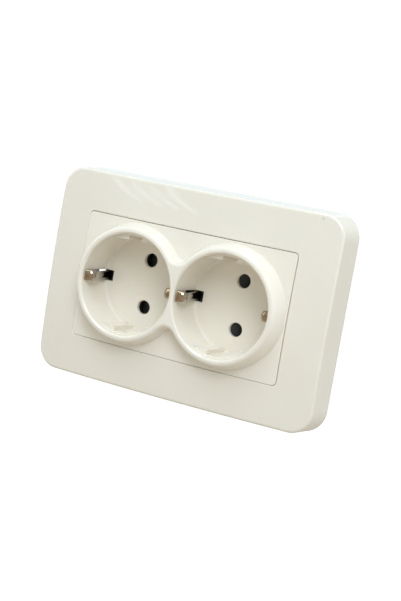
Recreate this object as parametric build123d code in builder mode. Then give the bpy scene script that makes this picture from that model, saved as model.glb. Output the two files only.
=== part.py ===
from build123d import *
import os
from math import atan2, degrees

os.makedirs("parts", exist_ok=True)

# Double earthed socket outlet for one round wall box.
# Millimetres. The origin is in the wall plane, X to the right, Z up, -Y towards the room.
# A height is a distance in front of the wall plane, a depth is one behind it.

# Cover frame
frame_width = 123.5
frame_height = 83.4
frame_corner = 9.5
frame_draft = 3.4
frame_wall = 2.2
frame_edge_round = 1.1
crown_height = 17.9
crown_radius_x = 467.0
crown_radius_z = 610.0
skirt_wall = 1.5
skirt_foot = 4.4
window_bevel = 0.25
ledge_height = 12.4
ledge_width = 1.6
frame_rib = 1.2
frame_rib_inset = 14.0

# Socket insert
insert_width = 90.7
insert_height = 49.6
insert_corner = 1.6
insert_gap = 0.2
insert_plate = 2.0
insert_skirt = 1.6
rim_height = 22.6
cup_pitch = 41.4
cup_depth = 17.5
cup_floor = 1.6
cup_floor_radius = 19.4
cup_mouth_radius = 19.75
cup_wall = 1.4
floor_round = 1.2
lip_bevel = 0.6
rim_round = 1.5
rim_radius = 21.9
collar_radius = 23.9
collar_base_height = 16.6
collar_root_height = 14.6
saddle_round = 2.2
pin_pitch = 19.0
pin_hole = 5.5
pin_hole_bevel = 0.35
guide_reach = 17.2
guide_groove_reach = 18.8
guide_groove_width = 6.0
guide_drop = 2.8
clip_slot_width = 4.3
clip_slot_inner = 15.9
clip_slot_height = 12.0
clip_recess_depth = 0.5
clip_recess_drop = 1.8
hook_offset = 6.0
hook_width = 5.0
hook_thickness = 1.6
hook_barb = 1.2
hook_barb_length = 2.4

# Support plate
plate_room = 4.0
plate_corner = 6.0
plate_thickness = 1.2
plate_lip = 3.6
plate_opening_corner = 4.0
box_screw_pitch = 60.0
box_slot_width = 4.2
box_slot_length = 7.0

# Base block
block_width = 54.0
block_height = 39.6
block_side_flat = 1.5
block_depth = 22.0
deck_corner = 18.0
block_barb = 1.1
block_barb_width = 8.0
block_barb_length = 1.8
rear_cover_thickness = 2.0

# Shutters
shutter_travel = 6.0
shutter_pad = 6.8
shutter_bar = 2.0
shutter_depth = 5.6
shutter_edge = 1.0
spring_wire = 0.45
spring_radius = 1.7
spring_turns = 5
spring_nub = 1.8
spring_start = 5.2

# Contacts and earth clips
contact_metal = 0.8
tulip_bore = 2.3
tulip_wall = 0.6
tulip_length = 9.3
tulip_slit = 1.0
strip_width = 6.0
pin_length = 19.0
tip_room = 1.4
clip_metal = 0.7
clip_width = 3.4
clip_crown = 0.5
clip_stand_off = 0.8
clip_knee_height = 7.0
clip_knee_round = 6.0
clip_nose = 3.6
clip_nose_drop = 3.6
clip_nose_round = 2.0
clip_tip_radius = 19.5
clip_tip_drop = 2.3
bracket_width = 7.4
bracket_end = 1.0
bracket_bridge = 6.0
link_width = 6.0

# Push-in terminals
terminal_width = 11.0
earth_terminal_width = 7.6
tab_offset = 3.2
wire_hole = 2.8
wire_offset = 1.6
wire_pitch = 5.2
earth_wire_pitch = 3.8
clamp_metal = 0.5
clamp_reach = 4.1
clamp_bend = 1.1
clamp_tip_depth = 18.6
lever_thickness = 2.0
lever_offset = -1.7
lever_inset = 1.5
lever_length = 8.4
lever_shoulder = 0.8
lever_stand_out = 0.8
cover_screw_offset = 18.6
cover_screw_radius = 1.4
cover_screw_head = 2.6
cover_screw_length = 8.0
cover_screw_slot = 0.7

# Clearances
seat_gap = 0.1
running_fit = 0.05
running_gap = 0.3

# Sizes that follow
cup_x = cup_pitch / 2
pin_z = pin_pitch / 2
floor_front = rim_height - cup_depth
floor_back = floor_front - cup_floor
window_width = insert_width + 2 * insert_gap
window_height = insert_height + 2 * insert_gap
window_corner = insert_corner + insert_gap
well_radius = cup_floor_radius + cup_wall
recess_radius = cup_mouth_radius + clip_recess_depth
collar_slope = (collar_radius - rim_radius) / (rim_height - collar_base_height)
collar_taper = degrees(atan2(collar_radius - rim_radius, rim_height - collar_base_height))
collar_root_radius = rim_radius + collar_slope * (rim_height - collar_root_height)
hook_z = block_height / 2 + running_gap + hook_thickness / 2
hook_outer = hook_z + hook_thickness / 2
hook_tip_depth = seat_gap + hook_barb_length
plate_size = frame_height - 2 * (frame_wall + plate_room)
plate_opening_width = block_width + 2 * seat_gap
plate_opening_height = 2 * (hook_outer + running_gap)
block_radius = block_width / 2 + block_side_flat
deck_half_width = cup_x + well_radius
shutter_front = floor_back - running_gap
shutter_back = shutter_front - shutter_depth
pocket_back = shutter_back - running_gap
pad_outer = cup_x + shutter_pad / 2
pad_inner = cup_x - shutter_pad / 2
bar_inner = pad_inner - shutter_bar
pocket_inner = bar_inner - shutter_travel - running_gap
pocket_outer = pad_outer + running_gap
shutter_half_height = pin_z + shutter_pad / 2
pocket_half_height = shutter_half_height + running_gap
notch_half_height = pin_z - shutter_pad / 2
island_half_height = notch_half_height - running_gap
earth_strip_front = floor_back - seat_gap
earth_strip_back = earth_strip_front - clip_metal
link_flange_back = earth_strip_back - clip_metal
bar_front = earth_strip_back - running_gap
clip_radius = cup_floor_radius - clip_stand_off
bracket_reach = clip_radius + clip_metal / 2 + bracket_end
clip_window = clip_slot_width + 2 * seat_gap
link_reach = cup_x - clip_radius + clip_metal / 2
spring_height = link_flange_back - running_gap - spring_radius - spring_wire / 2
spring_room = spring_radius + spring_wire / 2 + running_gap
spring_length = bar_inner - spring_start - 2 * seat_gap - spring_wire
strip_front = floor_front - pin_length + tip_room
strip_back = strip_front - contact_metal
channel_radius = tulip_bore + tulip_wall + running_gap
strip_reach = cup_x + strip_width / 2
tab_z = pin_z + strip_width / 2
cover_front = -block_depth
cover_back = cover_front - rear_cover_thickness
tab_end = cover_front + running_gap
terminal_room_outer = contact_metal + seat_gap
line_origin_z = tab_z - tab_offset
earth_origin_x = -contact_metal / 2 - tab_offset


def front(height):
    """Sketch plane parallel to the wall, at a height in front of it; it looks at the room."""
    return Plane.XZ.offset(height)


def profile_plane(x, z, outward):
    """Upright plane through (x, z): its X runs outward, its Y runs into the wall."""
    along = Vector(*outward)
    return Plane(origin=(x, 0, z), x_dir=along, z_dir=along.cross(Vector(0, 1, 0)))


def side_plane(side):
    """Profile plane through the middle of the part, its X towards the given side."""
    return profile_plane(0, 0, (side, 0, 0))


def cup_plane(side):
    """Profile plane through a cup's axis."""
    return profile_plane(side * cup_x, 0, (1, 0, 0))


def cup_axis(side):
    return Axis((side * cup_x, 0, 0), (0, 1, 0))


def clip_spots(near, far):
    """Middle of the stretch between two radii, at both sides of both cups."""
    middle = (near + far) / 2
    return [(side * cup_x + way * middle, 0) for side in (-1, 1) for way in (-1, 1)]


# Each terminal: where it stands, the way from its clamp to its contact tab, its width and wire pitch
terminals = {
    "line": ((0, line_origin_z), (0, 0, 1), terminal_width, wire_pitch),
    "neutral": ((0, -line_origin_z), (0, 0, -1), terminal_width, wire_pitch),
    "earth": ((earth_origin_x, 0), (1, 0, 0), earth_terminal_width, earth_wire_pitch),
}


def terminal_plane(name, height):
    """Sketch plane of a terminal at a height; its X runs from the clamp to the tab."""
    (x, z), outward, _, _ = terminals[name]
    return Plane(origin=(x, -height, z), x_dir=outward, z_dir=(0, -1, 0))


def domed_block(height):
    """Block under the shared domed front, lowered so that its middle stands at this height."""
    fall_x = frame_width**2 / (2 * crown_radius_x)
    fall_z = frame_height**2 / (2 * crown_radius_z)
    poles = [
        [
            (
                across * frame_width,
                (2 * abs(across) - 1) * fall_x + (2 * abs(up) - 1) * fall_z - height,
                up * frame_height,
            )
            for up in (-1, 0, 1)
        ]
        for across in (-1, 0, 1)
    ]
    with BuildPart() as block:
        extrude(Face.make_bezier_surface(poles), amount=crown_radius_x, dir=(0, 1, 0))
    return block.part


front_dome = domed_block(crown_height)
frame_inner_dome = domed_block(crown_height - frame_wall)
insert_inner_dome = domed_block(crown_height - insert_plate)

# Cover frame: a domed, drafted shell with a stepped window
with BuildPart() as frame_hollow:
    with BuildSketch(front(0)):
        RectangleRounded(
            frame_width - 2 * frame_wall, frame_height - 2 * frame_wall, frame_corner - frame_wall
        )
    extrude(amount=crown_height, taper=frame_draft)
    with BuildSketch(front(skirt_foot)):
        RectangleRounded(
            window_width + 2 * skirt_wall, window_height + 2 * skirt_wall, window_corner + skirt_wall
        )
        with GridLocations(frame_width - 2 * frame_rib_inset - insert_gap, 0, 2, 1):
            Rectangle(frame_rib, frame_height)
        with GridLocations(0, window_height / 2, 1, 2):
            Rectangle(frame_width, frame_rib)
        with Locations((0, 0)):
            Rectangle(frame_rib, frame_height)
    extrude(amount=crown_height, mode=Mode.SUBTRACT)
    add(frame_inner_dome, mode=Mode.INTERSECT)

with BuildPart() as cover_frame:
    with BuildSketch(front(0)):
        RectangleRounded(frame_width, frame_height, frame_corner)
    extrude(amount=crown_height + frame_wall, taper=frame_draft)
    add(front_dome, mode=Mode.INTERSECT)
    fillet(cover_frame.faces().sort_by(Axis.Y)[0].edges(), radius=frame_edge_round)
    add(frame_hollow.part, mode=Mode.SUBTRACT)
    with BuildSketch(front(0)):
        RectangleRounded(
            window_width - 2 * ledge_width, window_height - 2 * ledge_width, window_corner
        )
    extrude(amount=crown_height, mode=Mode.SUBTRACT)
    with BuildSketch(front(ledge_height)):
        RectangleRounded(window_width, window_height, window_corner)
    extrude(amount=crown_height, mode=Mode.SUBTRACT)
    front_face = faces().sort_by(SortBy.AREA)[-1]
    chamfer(front_face.inner_wires().edges(), length=window_bevel)
cover_frame.part.label = "cover_frame"
export_step(cover_frame.part, "parts/cover_frame.step")


# Socket insert: face plate, two collared cups and four snap hooks in one moulding
def cup_void(side):
    """Space inside a cup, with the guide lugs above and below left standing."""
    with BuildPart() as void:
        with BuildSketch(cup_plane(side)):
            with BuildLine():
                FilletPolyline(
                    (0, -floor_front),
                    (cup_floor_radius, -floor_front),
                    (cup_mouth_radius, lip_bevel - rim_height),
                    radius=floor_round,
                )
                Polyline(
                    (cup_mouth_radius, lip_bevel - rim_height),
                    (cup_mouth_radius + lip_bevel, -rim_height),
                    (cup_mouth_radius + lip_bevel, -rim_height - lip_bevel),
                    (0, -rim_height - lip_bevel),
                    (0, -floor_front),
                )
            make_face()
        revolve(axis=cup_axis(side))
        with BuildSketch(front(floor_front)):
            for end in (-1, 1):
                with Locations((side * cup_x, end * (guide_reach + cup_wall + lip_bevel))):
                    Rectangle(rim_radius, 2 * (cup_wall + lip_bevel))
                with Locations((side * cup_x, end * guide_groove_reach / 2)):
                    Rectangle(guide_groove_width, guide_groove_reach, mode=Mode.SUBTRACT)
        extrude(amount=cup_depth - guide_drop, mode=Mode.SUBTRACT)
    return void.part


cup_voids = {side: cup_void(side) for side in (-1, 1)}

with BuildPart() as insert_hollow:
    with BuildSketch(front(0)):
        Rectangle(insert_width - 2 * insert_skirt, insert_height - 2 * insert_skirt)
    extrude(amount=crown_height)
    add(insert_inner_dome, mode=Mode.INTERSECT)

with BuildPart() as collars:
    with BuildSketch(front(collar_root_height)):
        with Locations((cup_x, 0), (-cup_x, 0)):
            Circle(collar_root_radius)
        saddle_corners = vertices().sort_by(lambda corner: abs(corner.X))[:2]
        fillet(saddle_corners, radius=saddle_round)
    extrude(amount=rim_height - collar_root_height, taper=collar_taper)
    fillet(faces().sort_by(Axis.Y)[0].edges(), radius=rim_round)

with BuildPart() as socket_insert:
    with BuildSketch(front(ledge_height)):
        RectangleRounded(insert_width, insert_height, insert_corner)
    extrude(amount=crown_height)
    add(front_dome, mode=Mode.INTERSECT)
    add(insert_hollow.part, mode=Mode.SUBTRACT)
    with BuildSketch(front(floor_back)):
        with Locations((cup_x, 0), (-cup_x, 0)):
            Circle(well_radius)
    extrude(amount=collar_root_height - floor_back)
    add(collars.part)
    for side in (-1, 1):
        add(cup_voids[side], mode=Mode.SUBTRACT)
    with BuildSketch(front(floor_back)):
        for side in (-1, 1):
            with Locations((side * cup_x, 0)):
                with GridLocations(0, pin_pitch, 1, 2):
                    Circle(pin_hole / 2)
    extrude(amount=cup_floor, mode=Mode.SUBTRACT)
    hole_mouths = edges(Select.LAST).group_by(Axis.Y)[0]
    chamfer(hole_mouths, length=pin_hole_bevel)
    with BuildSketch(front(floor_back)):
        with Locations(*clip_spots(clip_slot_inner, well_radius + seat_gap)):
            Rectangle(well_radius + seat_gap - clip_slot_inner, clip_slot_width)
    extrude(amount=clip_slot_height - floor_back, mode=Mode.SUBTRACT)
    with BuildSketch(front(clip_slot_height)):
        with Locations(*clip_spots(clip_slot_inner, recess_radius)):
            Rectangle(recess_radius - clip_slot_inner, clip_slot_width)
    extrude(amount=rim_height - clip_recess_drop - clip_slot_height, mode=Mode.SUBTRACT)
    with BuildSketch(front(-hook_tip_depth)):
        with GridLocations(2 * hook_offset, 2 * hook_z, 2, 2):
            Rectangle(hook_width, hook_thickness)
    extrude(amount=hook_tip_depth + crown_height - insert_plate)
    for end in (-1, 1):
        for way in (-1, 1):
            with BuildSketch(profile_plane(way * hook_offset, 0, (0, 0, end))):
                with BuildLine():
                    Polyline(
                        (hook_outer, seat_gap),
                        (hook_outer + hook_barb, seat_gap),
                        (hook_outer, hook_tip_depth),
                        close=True,
                    )
                make_face()
            extrude(amount=hook_width / 2, both=True)
socket_insert.part.label = "socket_insert"
export_step(socket_insert.part, "parts/socket_insert.step")

# Support plate: a pressed steel sheet with a lip above and below
with BuildPart() as support_plate:
    with BuildSketch(front(0)):
        RectangleRounded(plate_size, plate_size, plate_corner)
        RectangleRounded(plate_opening_width, plate_opening_height, plate_opening_corner, mode=Mode.SUBTRACT)
        with GridLocations(0, box_screw_pitch, 1, 2):
            SlotOverall(box_slot_length, box_slot_width, rotation=90, mode=Mode.SUBTRACT)
    extrude(amount=plate_thickness)
    with BuildSketch(front(0)):
        with GridLocations(0, plate_size - plate_thickness, 1, 2):
            Rectangle(plate_size - 2 * plate_corner, plate_thickness)
    extrude(amount=plate_lip)
support_plate.part.label = "support_plate"
export_step(support_plate.part, "parts/support_plate.step")


def body_outline():
    """Outline of the body behind the wall, cut to fit the round box."""
    Rectangle(block_width, block_height)
    Circle(block_radius, mode=Mode.INTERSECT)


def stretch(side, near, far, height):
    """Rectangle between two distances from the middle of the part, on one side of it."""
    with Locations((side * (near + far) / 2, 0)):
        Rectangle(far - near, height)


# Base block: the deck under the cups and the round-sided body that goes into the wall box
with BuildPart() as shutter_pockets:
    with BuildSketch(front(pocket_back)):
        for side in (-1, 1):
            stretch(side, pocket_inner, pocket_outer, 2 * pocket_half_height)
    extrude(amount=floor_back - pocket_back)
    with BuildSketch(front(pocket_back)):
        for side in (-1, 1):
            stretch(side, pad_inner + running_gap, pocket_outer, 2 * island_half_height)
    extrude(amount=floor_back - pocket_back, mode=Mode.SUBTRACT)
    with BuildSketch(front(pocket_back)):
        for side in (-1, 1):
            stretch(side, spring_start, pocket_inner, 2 * spring_room)
    extrude(amount=floor_back - pocket_back)

with BuildPart() as base_block:
    with BuildSketch(front(plate_thickness)):
        RectangleRounded(2 * deck_half_width, block_height, deck_corner)
    extrude(amount=floor_back - plate_thickness)
    with BuildSketch(front(cover_front)):
        body_outline()
    extrude(amount=plate_thickness - cover_front)
    for side in (-1, 1):
        with BuildSketch(side_plane(side)):
            with BuildLine():
                Polyline(
                    (block_width / 2, seat_gap),
                    (block_width / 2 + block_barb, seat_gap),
                    (block_width / 2, seat_gap + block_barb_length),
                    close=True,
                )
            make_face()
        extrude(amount=block_barb_width / 2, both=True)
    add(shutter_pockets.part, mode=Mode.SUBTRACT)
    with BuildSketch(front(earth_strip_back)):
        Rectangle(2 * (cup_x + bracket_reach + seat_gap), bracket_width + 2 * seat_gap)
    extrude(amount=floor_back - earth_strip_back, mode=Mode.SUBTRACT)
    with BuildSketch(front(link_flange_back)):
        Rectangle(2 * (link_reach + seat_gap), bracket_width + 2 * seat_gap)
    extrude(amount=floor_back - link_flange_back, mode=Mode.SUBTRACT)
    with BuildSketch(front(strip_front)):
        with GridLocations(cup_pitch, pin_pitch, 2, 2):
            Circle(channel_radius)
    extrude(amount=pocket_back - strip_front, mode=Mode.SUBTRACT)
    with BuildSketch(front(strip_front)):
        Rectangle(contact_metal + 2 * seat_gap, link_width + 2 * seat_gap)
    extrude(amount=floor_back - strip_front, mode=Mode.SUBTRACT)
    with BuildSketch(front(cover_front)):
        with GridLocations(0, pin_pitch, 1, 2):
            Rectangle(2 * (strip_reach + seat_gap), strip_width + 2 * seat_gap)
    extrude(amount=strip_front - cover_front, mode=Mode.SUBTRACT)
    for name, (_, _, width, _) in terminals.items():
        with BuildSketch(terminal_plane(name, cover_front)):
            with Locations(((tab_offset + terminal_room_outer - clamp_reach) / 2, 0)):
                Rectangle(tab_offset + terminal_room_outer + clamp_reach, width)
        extrude(amount=strip_front - cover_front, mode=Mode.SUBTRACT)
    with BuildSketch(front(cover_front)):
        with GridLocations(2 * cover_screw_offset, 0, 2, 1):
            Circle(cover_screw_radius + running_fit)
    extrude(amount=cover_screw_length - rear_cover_thickness + seat_gap, mode=Mode.SUBTRACT)
base_block.part.label = "base_block"
export_step(base_block.part, "parts/base_block.step")

# Rear cover with wire entries, lever slots and two countersunk screw holes
with BuildPart() as rear_cover:
    with BuildSketch(front(cover_back)):
        body_outline()
    extrude(amount=rear_cover_thickness)
    for name, (_, _, width, pitch) in terminals.items():
        with BuildSketch(terminal_plane(name, cover_back)):
            with Locations((wire_offset, pitch / 2), (wire_offset, -pitch / 2)):
                Circle(wire_hole / 2)
            with Locations((lever_offset, 0)):
                Rectangle(lever_thickness + 2 * running_gap, width - 2 * lever_inset + 2 * running_gap)
        extrude(amount=rear_cover_thickness, mode=Mode.SUBTRACT)
    for side in (-1, 1):
        with BuildSketch(profile_plane(side * cover_screw_offset, 0, (1, 0, 0))):
            with BuildLine():
                Polyline(
                    (0, -cover_back),
                    (cover_screw_head + running_fit, -cover_back),
                    (cover_screw_radius + running_fit, -cover_back - cover_screw_head + cover_screw_radius),
                    (cover_screw_radius + running_fit, -cover_front),
                    (0, -cover_front),
                    close=True,
                )
            make_face()
        revolve(axis=Axis((side * cover_screw_offset, 0, 0), (0, 1, 0)), mode=Mode.SUBTRACT)
rear_cover.part.label = "rear_cover"
export_step(rear_cover.part, "parts/rear_cover.step")

# Cover screws, with a cross slot in each countersunk head
with BuildPart() as cover_screws:
    for side in (-1, 1):
        with BuildSketch(profile_plane(side * cover_screw_offset, 0, (1, 0, 0))):
            with BuildLine():
                Polyline(
                    (0, -cover_back),
                    (cover_screw_head, -cover_back),
                    (cover_screw_radius, -cover_back - cover_screw_head + cover_screw_radius),
                    (cover_screw_radius, -cover_back - cover_screw_length + cover_screw_radius),
                    (0, -cover_back - cover_screw_length),
                    close=True,
                )
            make_face()
        revolve(axis=Axis((side * cover_screw_offset, 0, 0), (0, 1, 0)))
    with BuildSketch(front(cover_back)):
        with GridLocations(2 * cover_screw_offset, 0, 2, 1):
            Rectangle(2 * cover_screw_radius, cover_screw_slot)
            Rectangle(cover_screw_slot, 2 * cover_screw_radius)
    extrude(amount=cover_screw_slot, mode=Mode.SUBTRACT)
cover_screws.part.label = "cover_screws"
export_step(cover_screws.part, "parts/cover_screws.step")


# Shutters: two wedge-faced pads joined by a bar; a pin drives both pads towards the middle
def make_shutter(name, side):
    with BuildPart() as shutter:
        with BuildSketch(side_plane(side)):
            with BuildLine():
                Polyline(
                    (bar_inner, -shutter_back),
                    (bar_inner, -shutter_front),
                    (pad_inner, -shutter_front),
                    (pad_outer, -shutter_back - shutter_edge),
                    (pad_outer, -shutter_back),
                    close=True,
                )
            make_face()
        extrude(amount=shutter_half_height, both=True)
        with BuildSketch(front(shutter_back)):
            stretch(side, pad_inner, pad_outer, 2 * notch_half_height)
        extrude(amount=shutter_depth, mode=Mode.SUBTRACT)
        with BuildSketch(front(bar_front)):
            stretch(side, bar_inner, pad_inner, 2 * notch_half_height)
        extrude(amount=shutter_front - bar_front, mode=Mode.SUBTRACT)
        nub_plane = Plane(origin=(side * bar_inner, -spring_height, 0), z_dir=(-side, 0, 0))
        with BuildSketch(nub_plane):
            Circle(spring_radius - spring_wire / 2 - running_gap)
        extrude(amount=spring_nub)
    shutter.part.label = name
    export_step(shutter.part, f"parts/{name}.step")


def make_shutter_spring(name, side):
    """Coil spring between the middle wall and the shutter's bar."""
    start = side * (spring_start + seat_gap + spring_wire / 2)
    with BuildPart() as spring:
        with BuildLine():
            coil = Helix(
                pitch=spring_length / spring_turns,
                height=spring_length,
                radius=spring_radius,
                center=(start, -spring_height, 0),
                direction=(side, 0, 0),
            )
        with BuildSketch(Plane(origin=coil @ 0, z_dir=coil % 0)):
            RegularPolygon(spring_wire / 2, 5)
        sweep(is_frenet=True)
    spring.part.label = name
    export_step(spring.part, f"parts/{name}.step")


# Contact strips: a tulip for each pin on a common strip, with the terminal tab bent back
def make_contact_strip(name, end):
    with BuildPart() as strip:
        with BuildSketch(front(strip_back)):
            with Locations((0, end * pin_z)):
                Rectangle(2 * strip_reach, strip_width)
            with Locations((cup_x, end * pin_z), (-cup_x, end * pin_z)):
                Circle(tulip_bore, mode=Mode.SUBTRACT)
        extrude(amount=contact_metal)
        with BuildSketch(front(strip_front)):
            with Locations((cup_x, end * pin_z), (-cup_x, end * pin_z)):
                Circle(tulip_bore + tulip_wall)
                Circle(tulip_bore, mode=Mode.SUBTRACT)
                Rectangle(2 * (tulip_bore + tulip_wall), tulip_slit, mode=Mode.SUBTRACT)
        extrude(amount=tulip_length)
        with BuildSketch(terminal_plane(name.split("_")[0], tab_end)):
            with Locations((tab_offset + contact_metal / 2, 0)):
                Rectangle(contact_metal, terminal_width - 2 * seat_gap)
        extrude(amount=strip_front - tab_end)
    strip.part.label = name
    export_step(strip.part, f"parts/{name}.step")


# Earth brackets: one strip per cup; its two clips are cut out of the strip and bent up
def make_earth_bracket(name, side):
    clip_middle = (bracket_bridge / 2 + clip_radius - clip_metal / 2) / 2
    with BuildPart() as bracket:
        with BuildSketch(front(earth_strip_back)):
            with Locations((side * cup_x, 0)):
                Rectangle(2 * bracket_reach, bracket_width)
                with GridLocations(2 * clip_middle, 0, 2, 1):
                    Rectangle(
                        clip_radius - clip_metal / 2 - bracket_bridge / 2, clip_window, mode=Mode.SUBTRACT
                    )
        extrude(amount=clip_metal)
        for way in (-1, 1):
            with BuildLine(profile_plane(side * cup_x, 0, (way, 0, 0))):
                centre_line = FilletPolyline(
                    (clip_radius, -earth_strip_back),
                    (clip_radius, -clip_knee_height),
                    (cup_mouth_radius - clip_nose, clip_nose_drop - rim_height),
                    (clip_tip_radius, clip_tip_drop - rim_height),
                    radius=[clip_knee_round, clip_nose_round],
                )
            with BuildSketch(Plane(origin=centre_line @ 0, x_dir=(0, 0, way), z_dir=(0, -1, 0))):
                with BuildLine():
                    ThreePointArc((-clip_width / 2, 0), (0, clip_crown), (clip_width / 2, 0))
                trace(line_width=clip_metal)
            sweep(path=centre_line)
    bracket.part.label = name
    export_step(bracket.part, f"parts/{name}.step")


# Earth link: a flange under both brackets and a blade that runs back to its terminal
with BuildPart() as earth_link:
    with BuildSketch(front(link_flange_back)):
        Rectangle(2 * link_reach, bracket_width)
    extrude(amount=clip_metal)
    with BuildSketch(front(tab_end)):
        Rectangle(contact_metal, link_width)
    extrude(amount=link_flange_back + clip_metal - tab_end)
earth_link.part.label = "earth_link"
export_step(earth_link.part, "parts/earth_link.step")


# Push-in terminals: a folded clamp spring and a release lever that reaches through the rear cover
def make_clamp_spring(name, terminal):
    (x, z), outward, width, _ = terminals[terminal]
    bend_front = -strip_back + seat_gap + clamp_metal / 2
    anchor = clamp_metal / 2 - clamp_reach + seat_gap
    with BuildPart() as clamp:
        with BuildSketch(profile_plane(x, z, outward)):
            with BuildLine():
                Line((anchor, -cover_front - running_gap), (anchor, bend_front + clamp_bend))
                RadiusArc((anchor, bend_front + clamp_bend), (anchor + clamp_bend, bend_front), -clamp_bend)
                Line(
                    (anchor + clamp_bend, bend_front),
                    (tab_offset - running_gap - clamp_metal, clamp_tip_depth),
                )
            trace(line_width=clamp_metal)
        extrude(amount=(width - 2 * seat_gap) / 2, both=True)
    clamp.part.label = name
    export_step(clamp.part, f"parts/{name}.step")


def make_release_lever(name, terminal):
    _, _, width, _ = terminals[terminal]
    with BuildPart() as lever:
        with BuildSketch(terminal_plane(terminal, cover_back - lever_stand_out)):
            with Locations((lever_offset, 0)):
                Rectangle(lever_thickness, width - 2 * lever_inset)
        extrude(amount=lever_length)
        with BuildSketch(terminal_plane(terminal, cover_front + running_gap)):
            with Locations((lever_offset, 0)):
                Rectangle(lever_thickness, width - 2 * running_gap)
        extrude(amount=lever_shoulder)
    lever.part.label = name
    export_step(lever.part, f"parts/{name}.step")


for side, hand in ((-1, "left"), (1, "right")):
    make_shutter(f"shutter_{hand}", side)
    make_shutter_spring(f"shutter_spring_{hand}", side)
    make_earth_bracket(f"earth_bracket_{hand}", side)
make_contact_strip("line_contact_strip", 1)
make_contact_strip("neutral_contact_strip", -1)
for terminal in terminals:
    make_clamp_spring(f"{terminal}_clamp_spring", terminal)
    make_release_lever(f"{terminal}_release_lever", terminal)
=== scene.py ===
import bmesh
import bpy
from math import radians
from mathutils import Matrix, Vector


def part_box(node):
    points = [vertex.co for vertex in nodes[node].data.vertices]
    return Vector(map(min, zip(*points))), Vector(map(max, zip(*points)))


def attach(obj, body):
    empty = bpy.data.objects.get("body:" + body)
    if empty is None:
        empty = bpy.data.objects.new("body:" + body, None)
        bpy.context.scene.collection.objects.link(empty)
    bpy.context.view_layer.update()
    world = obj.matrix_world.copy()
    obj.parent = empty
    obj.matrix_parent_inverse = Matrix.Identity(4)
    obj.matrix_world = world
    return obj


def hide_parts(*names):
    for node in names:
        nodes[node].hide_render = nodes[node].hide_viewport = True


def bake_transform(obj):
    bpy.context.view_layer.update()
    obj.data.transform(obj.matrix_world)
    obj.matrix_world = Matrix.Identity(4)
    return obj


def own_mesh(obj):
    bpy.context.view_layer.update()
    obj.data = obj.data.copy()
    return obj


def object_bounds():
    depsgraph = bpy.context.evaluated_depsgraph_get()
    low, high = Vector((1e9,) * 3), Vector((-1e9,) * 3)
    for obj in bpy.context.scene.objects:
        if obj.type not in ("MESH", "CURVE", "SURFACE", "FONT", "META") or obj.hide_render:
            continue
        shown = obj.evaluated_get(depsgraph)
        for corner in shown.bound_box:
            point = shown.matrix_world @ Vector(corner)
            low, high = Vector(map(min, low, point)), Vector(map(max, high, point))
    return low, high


# Double socket outlet. Metres; X to the right, Z up, -Y towards the room.
MM = 0.001

# The photograph's view: angles in degrees, lens in millimetres
CAMERA_PLACE = Vector((0.2318, -0.4533, 0.0593))
CAMERA_HEADING = 26.95
CAMERA_PITCH = 6.90
CAMERA_ROLL = 9.81
CAMERA_LENS = 78.3
CAMERA_NEAR = 0.01

# Small grey mark near the frame's upper right corner, full up to its core and faded out at its radius
MARK_PLACE = (51.8 * MM, -13.8 * MM, 39.0 * MM)
MARK_RADIUS = 0.8 * MM
MARK_CORE = MARK_RADIUS / 3
MARK_STRENGTH = 0.25
MARK_COLOUR = (0.3, 0.29, 0.26, 1)

# Clamp leaves: a leaf's bending length, and how many cuts go across it
LEAF_BEND = 2.7 * MM
LEAF_CUTS = 9

# Plastics of the two mouldings that show, with the deeper tint of their faint clouds
INSERT_WHITE = (0.895, 0.845, 0.74, 1)
INSERT_WHITE_DEEPER = (0.885, 0.834, 0.725, 1)
FRAME_WHITE = (0.866, 0.82, 0.716, 1)
FRAME_WHITE_DEEPER = (0.856, 0.809, 0.702, 1)
PLASTIC_IOR = 1.49
SCATTER_SHARE = 0.12
SCATTER_DEPTH = 0.9 * MM
SCATTER_COLOUR = (1.0, 0.85, 0.6)

# Parts of the noise's range that a tint, a gloss, and the clips' worn plating and patchy painted shade use
TINT_SPAN = (0.35, 0.65)
GLOSS_SPAN = (0.3, 0.7)
WEAR_AND_SHADE_SPAN = (0.3, 0.6)

# Earth clips: how far behind their front the bare tip and the bulge lie, and the painted shade that
# darkens them behind the bulge
CLIP_TIP = 0.4 * MM
CLIP_BULGE = 2.2 * MM
PAINTED_SHADE_START = 1.5 * MM
PAINTED_SHADE_END = 9 * MM

# Studio: a pale floor that only the camera sees, and a sky that lights the object
FLOOR_DROP = 0.45
FLOOR_SIZE = 12.0
FLOOR_GLOW = 0.6
FLOOR_PALE = (0.95, 0.95, 0.95, 1)
FLOOR_PALER = (0.97, 0.97, 0.97, 1)
SKY_ABOVE = (0.514, 0.561, 0.547, 1)
SKY_BELOW = (0.566, 0.528, 0.476, 1)
SKY_BLEND = 0.05
BACKDROP_COLOUR = (1, 1, 1, 1)
BACKDROP_WHITE = 1.05

# Soft lights, all of one colour: name, place, width, height and power in watts
LIGHT_COLOUR = (0.93, 1.0, 1.13)
SOFT_LIGHTS = (
    ("main_light", (0.501, -0.802, 0.739), 0.5, 0.5, 5.3),
    ("top_light", (0.0, -0.563, 1.06), 0.5, 0.5, 3.9),
    ("left_light", (-1.1, -0.05, 0.3), 0.6, 0.6, 1.9),
    ("right_light", (1.1, 0.15, 0.15), 0.6, 0.6, 1.8),
    ("rear_light", (0.1, 0.25, 1.1), 0.6, 0.6, 1.2),
)
BACKDROP_LIGHT = ("backdrop_light", (-0.6, 1.15, 0.25), 1.6, 0.8, 1.5)

# Narrow bright strips that show as faint streaks on the frame's upper left
STREAK_COUNT = 4
STREAK_PLACE = Vector((-0.955, -1.195, 0.105))
STREAK_STEP = Vector((0.068, -0.04, 0.003))
STREAK_ALONG = Vector((0.138, -0.076, -0.054))
STREAK_LENGTH = 0.16
STREAK_WIDTH = 0.01
STREAK_POWER = 0.014

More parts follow.
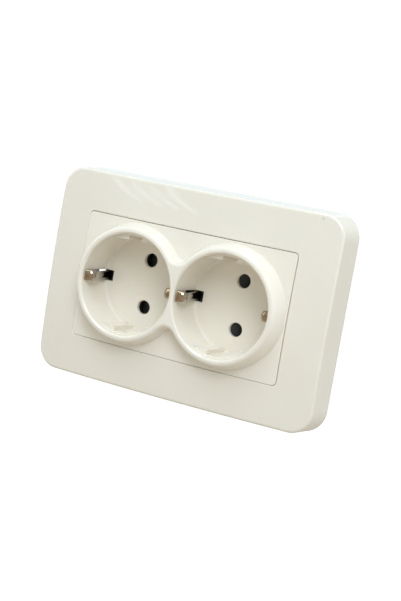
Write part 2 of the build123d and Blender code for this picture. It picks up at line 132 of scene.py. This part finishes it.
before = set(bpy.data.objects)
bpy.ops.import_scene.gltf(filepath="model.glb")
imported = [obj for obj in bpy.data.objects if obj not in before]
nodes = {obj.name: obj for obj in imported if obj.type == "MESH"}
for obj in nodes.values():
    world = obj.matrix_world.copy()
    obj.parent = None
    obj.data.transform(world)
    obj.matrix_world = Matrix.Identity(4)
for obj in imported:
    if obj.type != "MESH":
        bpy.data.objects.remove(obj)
cad_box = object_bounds()


def linear(red, green, blue):
    """A colour given as it shows on screen, 0 to 255, in the renderer's linear values."""
    values = []
    for part in (red, green, blue):
        part = part / 255
        values.append(part / 12.92 if part < 0.04045 else ((part + 0.055) / 1.055) ** 2.4)
    return (*values, 1.0)


class Graph:
    """A material's node tree, with short calls for the nodes used here."""

    def __init__(self, name):
        self.material = bpy.data.materials.new(name)
        self.material.use_nodes = True
        self.tree = self.material.node_tree
        self.shader = self.tree.nodes["Principled BSDF"]
        self.place = self.tree.nodes.new("ShaderNodeTexCoord").outputs["Object"]

    def link(self, source, target):
        self.tree.links.new(source, target)

    def noise(self, scale, detail, stretch=None):
        """Noise in the object's own space, drawn out along the axes that stretch makes small."""
        node = self.tree.nodes.new("ShaderNodeTexNoise")
        node.inputs["Scale"].default_value = scale
        node.inputs["Detail"].default_value = detail
        self.link(self.stretched(stretch) if stretch else self.place, node.inputs["Vector"])
        return node.outputs["Fac"]

    def stretched(self, scale):
        node = self.tree.nodes.new("ShaderNodeMapping")
        node.inputs["Scale"].default_value = scale
        self.link(self.place, node.inputs["Vector"])
        return node.outputs["Vector"]

    def cells(self, scale):
        node = self.tree.nodes.new("ShaderNodeTexVoronoi")
        node.inputs["Scale"].default_value = scale
        self.link(self.place, node.inputs["Vector"])
        return node.outputs["Color"]

    def span(self, value, low, high, to_low=0.0, to_high=1.0):
        """A value's range from low to high, carried over to another range."""
        node = self.tree.nodes.new("ShaderNodeMapRange")
        node.inputs["From Min"].default_value = low
        node.inputs["From Max"].default_value = high
        node.inputs["To Min"].default_value = to_low
        node.inputs["To Max"].default_value = to_high
        self.link(value, node.inputs["Value"])
        return node.outputs["Result"]

    def axis(self, name):
        node = self.tree.nodes.new("ShaderNodeSeparateXYZ")
        self.link(self.place, node.inputs["Vector"])
        return node.outputs[name]

    def blend(self, amount, first, second):
        """Two colours, or a socket and a colour, mixed by an amount."""
        node = self.tree.nodes.new("ShaderNodeMix")
        node.data_type = "RGBA"
        self.link(amount, node.inputs["Factor"])
        for value, slot in ((first, "A"), (second, "B")):
            socket = [s for s in node.inputs if s.name == slot and s.type == "RGBA"][0]
            if isinstance(value, tuple):
                socket.default_value = value
            else:
                self.link(value, socket)
        return [s for s in node.outputs if s.type == "RGBA"][0]

    def product(self, first, second):
        node = self.tree.nodes.new("ShaderNodeMath")
        node.operation = "MULTIPLY"
        self.link(first, node.inputs[0])
        self.link(second, node.inputs[1])
        return node.outputs["Value"]

    def distance_to(self, point):
        node = self.tree.nodes.new("ShaderNodeVectorMath")
        node.operation = "DISTANCE"
        self.link(self.place, node.inputs[0])
        node.inputs[1].default_value = point
        return node.outputs["Value"]

    def bump(self, height, distance, strength, after=None):
        """Surface relief, laid over another one where that is given."""
        node = self.tree.nodes.new("ShaderNodeBump")
        node.inputs["Strength"].default_value = strength
        node.inputs["Distance"].default_value = distance
        self.link(height, node.inputs["Height"])
        if after is not None:
            self.link(after, node.inputs["Normal"])
        return node.outputs["Normal"]

    def set(self, **values):
        """Values or sockets for the shader's inputs."""
        for name, value in values.items():
            socket = self.shader.inputs[name.replace("_", " ")]
            if isinstance(value, bpy.types.NodeSocket):
                self.link(value, socket)
            else:
                socket.default_value = value


def moulded_plastic(name, colour, deeper, gloss, grain, mark=None):
    """Glossy moulding: faint clouds, slow waves from the mould, a fine skin grain, and a mark if given."""
    graph = Graph(name)
    clouds = graph.noise(scale=45, detail=2)
    tint = graph.blend(graph.span(clouds, *TINT_SPAN), colour, deeper)
    if mark is not None:
        near = graph.span(graph.distance_to(mark), MARK_CORE, MARK_RADIUS, to_low=MARK_STRENGTH, to_high=0)
        tint = graph.blend(near, tint, MARK_COLOUR)
    skin = graph.bump(graph.noise(scale=2600, detail=2), distance=0.0015 * MM, strength=grain)
    waves = graph.bump(graph.noise(scale=70, detail=1), distance=0.01 * MM, strength=0.5, after=skin)
    dull = graph.noise(scale=160, detail=4)
    graph.set(
        Base_Color=tint,
        Roughness=graph.span(dull, *GLOSS_SPAN, to_low=gloss - 0.01, to_high=gloss + 0.02),
        Normal=waves,
        Subsurface_Weight=SCATTER_SHARE,
        Subsurface_Scale=SCATTER_DEPTH,
        Subsurface_Radius=SCATTER_COLOUR,
        IOR=PLASTIC_IOR,
    )
    return graph.material


def matt_plastic(name, colour, deeper, roughness):
    """Spark-eroded moulding surface: an even fine grain."""
    graph = Graph(name)
    grain = graph.noise(scale=1900, detail=3)
    clouds = graph.noise(scale=300, detail=3)
    graph.set(
        Base_Color=graph.blend(graph.span(grain, *TINT_SPAN), colour, deeper),
        Roughness=graph.span(clouds, *GLOSS_SPAN, to_low=roughness - 0.06, to_high=roughness + 0.06),
        Normal=graph.bump(grain, distance=0.02 * MM, strength=0.8),
    )
    return graph.material


def rolled_metal(name, colour, deeper, roughness, along):
    """Sheet or wire with fine drawing lines that run along one axis."""
    graph = Graph(name)
    stretch = tuple(0.04 if axis == along else 1.0 for axis in "XYZ")
    lines = graph.noise(scale=1500, detail=2, stretch=stretch)
    clouds = graph.span(graph.noise(scale=220, detail=4), *GLOSS_SPAN)
    graph.set(
        Base_Color=graph.blend(clouds, colour, deeper),
        Metallic=1.0,
        Roughness=graph.span(lines, *GLOSS_SPAN, to_low=roughness - 0.06, to_high=roughness + 0.08),
        Normal=graph.bump(lines, distance=0.008 * MM, strength=0.6),
    )
    return graph.material


def zinc_sheet(name):
    """Galvanised sheet: large soft crystals in slightly different greys."""
    graph = Graph(name)
    crystals = graph.cells(scale=260)
    dull = graph.noise(scale=500, detail=4)
    graph.set(
        Base_Color=graph.blend(crystals, linear(168, 172, 176), linear(196, 199, 202)),
        Metallic=1.0,
        Roughness=graph.span(dull, *GLOSS_SPAN, to_low=0.32, to_high=0.46),
        Normal=graph.bump(graph.noise(scale=900, detail=3), distance=0.01 * MM, strength=0.6),
    )
    return graph.material


def plated_clip(name, tip_y, bulge_y):
    """Nickel over brass: yellow metal bare at the tip, bright at the nose, and painted shade that darkens
    it towards the slot.
    """
    graph = Graph(name)
    bright, shaded_nickel_colour, bare = linear(190, 183, 172), linear(84, 74, 63), linear(158, 124, 80)
    # Painted shade: the nickel darkens in soft patches from behind the bulge towards the slot
    shade = graph.span(graph.axis("Y"), bulge_y + PAINTED_SHADE_START, bulge_y + PAINTED_SHADE_END)
    painted_shade_patches = graph.span(graph.noise(scale=700, detail=3), *WEAR_AND_SHADE_SPAN, to_low=0.75)
    nickel = graph.blend(graph.product(shade, painted_shade_patches), bright, shaded_nickel_colour)
    tip = graph.span(graph.axis("Y"), bulge_y, tip_y)
    rubbed = graph.span(graph.noise(scale=900, detail=3), *WEAR_AND_SHADE_SPAN, to_low=0.4)
    lines = graph.noise(scale=1400, detail=2, stretch=(1.0, 0.05, 1.0))
    graph.set(
        Base_Color=graph.blend(graph.product(tip, rubbed), nickel, bare),
        Metallic=1.0,
        Roughness=graph.span(lines, *GLOSS_SPAN, to_low=0.06, to_high=0.14),
        Normal=graph.bump(graph.noise(scale=260, detail=2), distance=0.03 * MM, strength=0.7),
    )
    return graph.material


clip_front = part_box("earth_bracket_left")[0].y
clip_metal = plated_clip("plated_clip", clip_front + CLIP_TIP, clip_front + CLIP_BULGE)
dark = matt_plastic("dark_plastic", linear(52, 52, 53), linear(44, 44, 45), roughness=0.6)
lever = matt_plastic("orange_plastic", linear(214, 116, 40), linear(204, 104, 34), roughness=0.45)
brass = rolled_metal(
    "stamped_brass", linear(214, 176, 106), linear(198, 156, 88), roughness=0.26, along="X"
)
spring_steel = rolled_metal(
    "spring_steel", linear(176, 178, 180), linear(156, 158, 160), roughness=0.25, along="Y"
)
materials = {
    "cover_frame": moulded_plastic(
        "frame_plastic", FRAME_WHITE, FRAME_WHITE_DEEPER, gloss=0.045, grain=0.15, mark=MARK_PLACE
    ),
    "socket_insert": moulded_plastic(
        "insert_plastic", INSERT_WHITE, INSERT_WHITE_DEEPER, gloss=0.14, grain=0.3
    ),
    # Painted light: the left shutter is the right one's black plastic made lighter, to brighten its more
    # deeply shaded holes
    "shutter_left": matt_plastic(
        "black_plastic_painted_lighter", linear(88, 88, 88), linear(78, 78, 78), roughness=0.35
    ),
    "shutter_right": matt_plastic(
        "black_plastic", linear(50, 50, 51), linear(42, 42, 42), roughness=0.45
    ),
    "base_block": dark,
    "rear_cover": dark,
    "support_plate": zinc_sheet("zinc_sheet"),
    "cover_screws": rolled_metal(
        "zinc_screw", linear(190, 186, 172), linear(170, 168, 158), roughness=0.3, along="Y"
    ),
    "earth_bracket_left": clip_metal,
    "earth_bracket_right": clip_metal,
    "earth_link": brass,
    "line_contact_strip": brass,
    "neutral_contact_strip": brass,
}
for terminal in ("line", "neutral", "earth"):
    materials[terminal + "_clamp_spring"] = spring_steel
    materials[terminal + "_release_lever"] = lever
for hand in ("left", "right"):
    materials["shutter_spring_" + hand] = spring_steel

for name, node in nodes.items():
    node.data.materials.clear()
    node.data.materials.append(materials[name])


def spring_copy(name, spring):
    """A copy of a CAD spring, with the original hidden."""
    piece = bpy.data.objects.new(name, nodes[spring].data.copy())
    bpy.context.scene.collection.objects.link(piece)
    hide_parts(spring)
    return piece


def shutter_coil(hand):
    """Coil between the middle wall and a shutter, carried by the housing."""
    spring = "shutter_spring_" + hand
    coil = spring_copy(hand + "_shutter_coil", spring)
    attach(coil, "housing")
    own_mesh(coil)


def clamp_leaf(terminal, outward):
    """Folded leaf, cut across over the length where its free arm bends down under its release lever."""
    leaf = spring_copy(terminal + "_clamp_leaf", terminal + "_clamp_spring")
    start = outward * min(corner.dot(outward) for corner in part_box(terminal + "_release_lever"))
    mesh = bmesh.new()
    mesh.from_mesh(leaf.data)
    for index in range(LEAF_CUTS + 1):
        cut = start + outward * LEAF_BEND * index / LEAF_CUTS
        everything = mesh.verts[:] + mesh.edges[:] + mesh.faces[:]
        bmesh.ops.bisect_plane(mesh, geom=everything, plane_co=cut, plane_no=outward)
    mesh.to_mesh(leaf.data)
    mesh.free()
    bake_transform(leaf)


for hand, side in (("left", -1), ("right", 1)):
    shutter_coil(hand)
clamp_leaf("line", Vector((0, 0, 1)))
clamp_leaf("neutral", Vector((0, 0, -1)))
clamp_leaf("earth", Vector((1, 0, 0)))


def pale_floor():
    """Plain pale floor, part of the studio."""
    bottom = cad_box[0][2] - FLOOR_DROP
    half = FLOOR_SIZE / 2
    mesh = bpy.data.meshes.new("floor")
    corners = [(x, y, bottom) for x, y in ((-half, -half), (half, -half), (half, half), (-half, half))]
    mesh.from_pydata(corners, [], [(0, 1, 2, 3)])
    floor = bpy.data.objects.new("floor", mesh)
    bpy.context.scene.collection.objects.link(floor)
    graph = Graph("floor_paper")
    paper = graph.blend(graph.noise(scale=3, detail=2), FLOOR_PALE, FLOOR_PALER)
    graph.set(Base_Color=paper, Roughness=0.9, Emission_Color=paper, Emission_Strength=FLOOR_GLOW)
    mesh.materials.append(graph.material)
    floor.visible_diffuse = False
    floor.visible_glossy = False
    floor.visible_shadow = False


def softbox(name, place, width, height, power, along=None):
    """Rectangular soft light that faces the object's middle, its width along a direction if given."""
    light = bpy.data.lights.new(name, "AREA")
    light.shape = "RECTANGLE"
    light.size = width
    light.size_y = height
    light.energy = power
    light.color = LIGHT_COLOUR
    holder = bpy.data.objects.new(name, light)
    holder.location = place
    holder.rotation_euler = (-Vector(place)).to_track_quat("-Z", "Y").to_euler()
    if along is not None:
        facing = Vector(place).normalized()
        across = (along - facing * along.dot(facing)).normalized()
        holder.rotation_euler = Matrix((across, facing.cross(across), facing)).transposed().to_euler()
    bpy.context.scene.collection.objects.link(holder)
    return holder


def sky(world):
    """Even studio surround, warmer below the horizon; what the camera itself sees is plain white."""
    world.use_nodes = True
    tree = world.node_tree
    lighting = tree.nodes["Background"]
    height = tree.nodes.new("ShaderNodeSeparateXYZ")
    tree.links.new(tree.nodes.new("ShaderNodeTexCoord").outputs["Generated"], height.inputs["Vector"])
    horizon = tree.nodes.new("ShaderNodeMapRange")
    horizon.inputs["From Min"].default_value = -SKY_BLEND
    horizon.inputs["From Max"].default_value = SKY_BLEND
    tree.links.new(height.outputs["Z"], horizon.inputs["Value"])
    ramp = tree.nodes.new("ShaderNodeValToRGB")
    ramp.color_ramp.elements[0].color = SKY_BELOW
    ramp.color_ramp.elements[1].color = SKY_ABOVE
    tree.links.new(horizon.outputs["Result"], ramp.inputs["Fac"])
    tree.links.new(ramp.outputs["Color"], lighting.inputs["Color"])
    shown = tree.nodes.new("ShaderNodeBackground")
    shown.inputs["Color"].default_value = BACKDROP_COLOUR
    shown.inputs["Strength"].default_value = BACKDROP_WHITE
    ray = tree.nodes.new("ShaderNodeLightPath")
    mix = tree.nodes.new("ShaderNodeMixShader")
    tree.links.new(ray.outputs["Is Camera Ray"], mix.inputs["Fac"])
    tree.links.new(lighting.outputs["Background"], mix.inputs[1])
    tree.links.new(shown.outputs["Background"], mix.inputs[2])
    tree.links.new(mix.outputs["Shader"], tree.nodes["World Output"].inputs["Surface"])


def studio():
    """Soft lights, the streaks' strips and the sky."""
    for light in SOFT_LIGHTS:
        softbox(*light)
    softbox(*BACKDROP_LIGHT).visible_camera = False
    for index in range(STREAK_COUNT):
        place = STREAK_PLACE + index * STREAK_STEP
        softbox(f"streak_{index}", place, STREAK_LENGTH, STREAK_WIDTH, STREAK_POWER, STREAK_ALONG)
    world = bpy.data.worlds.new("studio")
    sky(world)
    bpy.context.scene.world = world
    bpy.context.scene.view_settings.view_transform = "Standard"


def camera():
    """Camera at the photograph's viewpoint."""
    data = bpy.data.cameras.new("camera")
    data.lens = CAMERA_LENS
    data.clip_start = CAMERA_NEAR
    holder = bpy.data.objects.new("camera", data)
    turn = (
        Matrix.Rotation(radians(CAMERA_HEADING), 4, "Z")
        @ Matrix.Rotation(radians(90 - CAMERA_PITCH), 4, "X")
        @ Matrix.Rotation(radians(CAMERA_ROLL), 4, "Z")
    )
    holder.matrix_world = Matrix.Translation(CAMERA_PLACE) @ turn
    bpy.context.scene.collection.objects.link(holder)
    bpy.context.scene.camera = holder


pale_floor()
studio()
camera()
